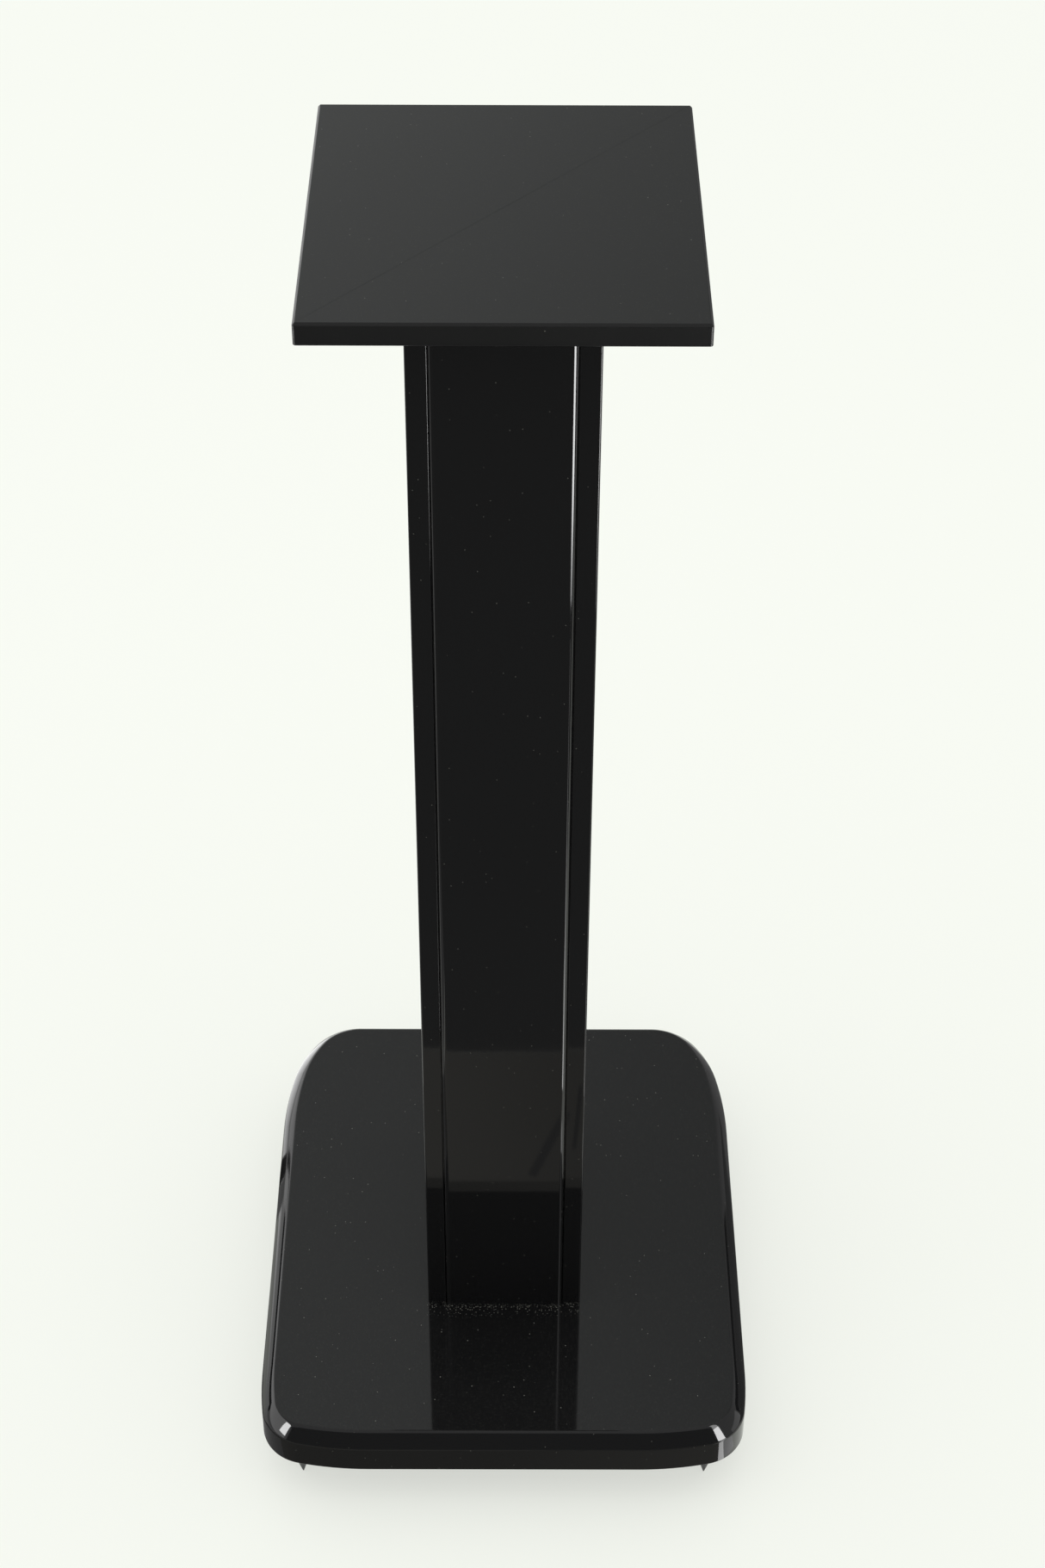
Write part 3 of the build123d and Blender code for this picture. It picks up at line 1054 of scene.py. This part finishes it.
def card(
    name, size, place, facing, level, far_level=None, span=None, axis=RIGHT, tint=(1, 1, 1), turn=0
):
    """
    A lit or dark studio card that only reflections see.

    With a far level, its light changes smoothly along an axis between the two ends of the span.
    """
    deselect()
    bpy.ops.mesh.primitive_plane_add(size=1.0, location=place)
    made = bpy.context.object
    made.name = made.data.name = name
    made.scale = (size[0], size[1], 1.0)
    made.rotation_mode = "QUATERNION"
    turned_by = Quaternion(UP, radians(turn))
    made.rotation_quaternion = Vector(facing).to_track_quat("Z", "Y") @ turned_by
    bpy.ops.object.transform_apply(location=True, rotation=True, scale=True)
    finish = Finish(name)
    strength = level
    if far_level is not None:
        along = finish.vectors("DOT_PRODUCT", finish.place, axis, output="Value")
        strength = level + (far_level - level) * finish.step(along, *span)
    glow = finish.node("ShaderNodeEmission", {}, {"Color": rgba(tint), "Strength": strength})
    finish.node("ShaderNodeOutputMaterial", {}, {"Surface": glow})
    made.data.materials.append(finish.material)
    made.visible_camera = False
    made.visible_diffuse = False
    made.visible_shadow = False
    made.visible_transmission = False


def set_room_cards():
    """Sets the ceiling and the walls that the lacquer reflects, dark in front and light behind."""
    slope = {"span": (0.0, 1.6), "axis": (1.0, 0.3, 0.0), "tint": COOL}
    card("card_ceiling", (9, 4.1), (0, 3.05, 3.1), DOWN, 0.60, 0.36, **slope)
    card("card_ceiling_front", (9, 5.0), (0, -1.5, 3.12), DOWN, 0.50)
    card("card_front", (7, 3.0), (0, -2.4, 1.52), BACKWARD, 0.10)
    card("card_left", (4.6, 2.4), (-2.3, 0.1, 1.2), RIGHT, 0.66)
    card("card_right", (4.6, 2.4), (2.3, 0.1, 1.2), LEFT, 0.50)
    card("card_back", (4.6, 1.96), (0, 2.4, 0.98), FORWARD, 0.74, 0.36, (-0.5, 0.5), tint=COOL)
    card("card_back_left", (1.7, 1.0), (-0.9, 1.65, 0.5), (0.75, -0.66, 0), 1.50)
    card("card_back_right", (1.7, 1.0), (0.9, 1.65, 0.5), (-0.75, -0.66, 0), 0.32)
    # Low strips at both sides, for the plinth's bevel and the cheeks
    card("card_skirt_left", (2.2, 0.11), (-1.35, 0.0, 0.055), RIGHT, 1.0)
    card("card_dark_left", (0.75, 0.14), (-1.35, 0.72, 0.18), RIGHT, DARK)
    card("card_bright_left", (2.2, 1.2), (-1.35, 0.0, 0.85), RIGHT, 1.9)
    card("card_post_left", (0.022, 0.5), (-1.305, 1.134, 0.25), (0.73, -0.68, 0), DARK)
    card("card_skirt_right", (2.2, 0.11), (1.35, 0.0, 0.055), LEFT, 0.16)
    card("card_dark_right", (0.75, 0.18), (1.35, 0.72, 0.20), LEFT, DARK)
    card("card_low_right", (0.50, 0.20), (0.93, -0.11, 0.165), LEFT, 1.1)


def set_floor_cards():
    """Lays painted reflections: cards on the floor that only reflections see, for the patches of the
    floor that the column and the plinth's sides reflect.
    """
    near = {"span": (-0.05, 0.05), "tint": WARM}
    foot = {"span": (-0.02, 0.12), "tint": WARM}
    rear = {"span": (-0.110, -0.088), "axis": (-0.75, 0.66, 0.0)}
    card("card_floor_far", (3.0, 2.0), (0, -1.335, 0.0038), UP, 0.11)
    card("card_floor_near", (0.46, 0.117), (0, -0.2765, 0.0034), UP, 0.30, 0.23, **near)
    card("card_floor_foot", (0.40, 0.048), (-0.05, -0.194, 0.0035), UP, 0.13, 0.20, **foot)
    card("card_floor_left", (1.15, 0.66), (-0.83, -0.44, 0.0036), UP, 0.55, 0.30, (-0.8, -0.4))
    card("card_floor_beside", (0.14, 0.15), (-0.205, -0.095, 0.0034), UP, 0.20)
    card("card_floor_left_rear", (0.9, 1.0), (-0.60, 0.68, 0.0036), UP, 0.95, 2.6, (-0.75, -0.16))
    card("card_floor_right", (1.15, 1.3), (0.74, 0.57, 0.0036), UP, 0.14, 0.33, **rear)
    # Thin painted reflections: a dark stripe with a soft edge on the left, and two streaks in front
    card("card_stripe", (0.8, 0.018), (-0.46, 0.346, 0.0042), UP, DARK, turn=-43)
    card("card_stripe_soft", (0.8, 0.022), (-0.474, 0.331, 0.0040), UP, 0.40, turn=-43)
    card("card_streak", (0.058, 0.006), (0.028, -0.249, 0.0040), UP, 0.14, turn=-68)
    card("card_streak_thin", (0.058, 0.004), (0.048, -0.272, 0.0040), UP, 0.12, turn=-83)


def set_soft_boxes():
    """Sets a bright box at each front corner, and a painted gleam on the floor towards the right one,
    which only reflections see.
    """
    fade = {"span": (0.0, 0.14), "axis": UP}
    inward = (-0.755, 0.656, 0)
    card("box_right", (0.18, 0.60), (0.620, -0.585, 0.303), inward, 3.6, 16.0, **fade)
    card("box_right_high", (0.18, 0.60), (0.620, -0.585, 0.903), inward, 5.0)
    card("box_left", (0.20, 0.40), (-0.735, -0.505, 0.50), (0.87, 0.49, 0), 16.0)
    # Painted gleam: glowing strips on the floor near the right corner that only reflections see
    gleam = {"span": (0.20, 0.50), "turn": -41}
    card("gleam_right", (0.50, 0.034), (0.395, -0.384, 0.0042), UP, 6.0, 1.3, **gleam)
    card("gleam_corner", (0.050, 0.009), (0.161, -0.186, 0.0044), UP, 3.4, turn=-37)
    card("gleam_corner_soft", (0.050, 0.022), (0.171, -0.174, 0.0043), UP, 1.1, turn=-30)


def set_camera(scene):
    """Sets the camera in front of the stand, above it and tilted down."""
    data = bpy.data.cameras.new("camera")
    data.lens = 65.53
    data.sensor_width = 36.0
    data.clip_start = 0.05
    data.clip_end = 60.0
    camera = bpy.data.objects.new("camera", data)
    scene.collection.objects.link(camera)
    heading, tilt, roll = -0.179, 39.463, 0.266
    camera.matrix_world = (
        Matrix.Translation((0.0060, -1.1834, 1.3713))
        @ Matrix.Rotation(radians(heading), 4, "Z")
        @ Matrix.Rotation(radians(90 - tilt), 4, "X")
        @ Matrix.Rotation(radians(roll), 4, "Z")
    )
    scene.camera = camera


class STAND_OT_stage(Operator):
    """Set the pale floor, the soft light, the studio cards and the camera"""

    bl_idname = "stand.stage"
    bl_label = "Stage"

    def execute(self, context):
        scene = context.scene
        scene.view_settings.view_transform = "Standard"
        lay_floor(scene.stand_finishes)
        light_room(scene)
        set_room_cards()
        set_floor_cards()
        set_soft_boxes()
        set_camera(scene)
        return {"FINISHED"}


# ------------------------------------------------------------------ panel and registration
PIECE_OPERATORS = (
    STAND_OT_stage,
    STAND_OT_plinth,
    STAND_OT_cheeks,
    STAND_OT_panels,
    STAND_OT_top_plate,
    STAND_OT_spikes,
    STAND_OT_nuts,
    STAND_OT_inserts,
    STAND_OT_inner_parts,
)


class STAND_PT_pieces(Panel):
    """Sidebar panel that lists the stand's pieces and their sizes"""

    bl_label = "Loudspeaker Stand"
    bl_space_type = "VIEW_3D"
    bl_region_type = "UI"
    bl_category = "Stand"

    def draw(self, context):
        """Draws a button for each operator, then the sizes and the colours."""
        for operator in PIECE_OPERATORS:
            self.layout.operator(operator.bl_idname)
        for group in (context.scene.stand_sizes, context.scene.stand_finishes):
            column = self.layout.column(align=True)
            for name in group.__annotations__:
                column.prop(group, name)


CLASSES = (StandSizes, StandFinishes, *PIECE_OPERATORS, STAND_PT_pieces)


def register():
    """Registers the classes and gives the scene its sizes and finishes."""
    for cls in CLASSES:
        bpy.utils.register_class(cls)
    bpy.types.Scene.stand_sizes = PointerProperty(type=StandSizes)
    bpy.types.Scene.stand_finishes = PointerProperty(type=StandFinishes)


def unregister():
    """Takes away what register added."""
    del bpy.types.Scene.stand_finishes
    del bpy.types.Scene.stand_sizes
    for cls in reversed(CLASSES):
        bpy.utils.unregister_class(cls)


def main():
    """Makes every piece in order."""
    register()
    for operator in PIECE_OPERATORS:
        group, name = operator.bl_idname.split(".")
        if getattr(getattr(bpy.ops, group), name)() != {"FINISHED"}:
            raise RuntimeError(f"{operator.bl_label} was not finished")
    deselect()


if __name__ == "__main__":
    main()
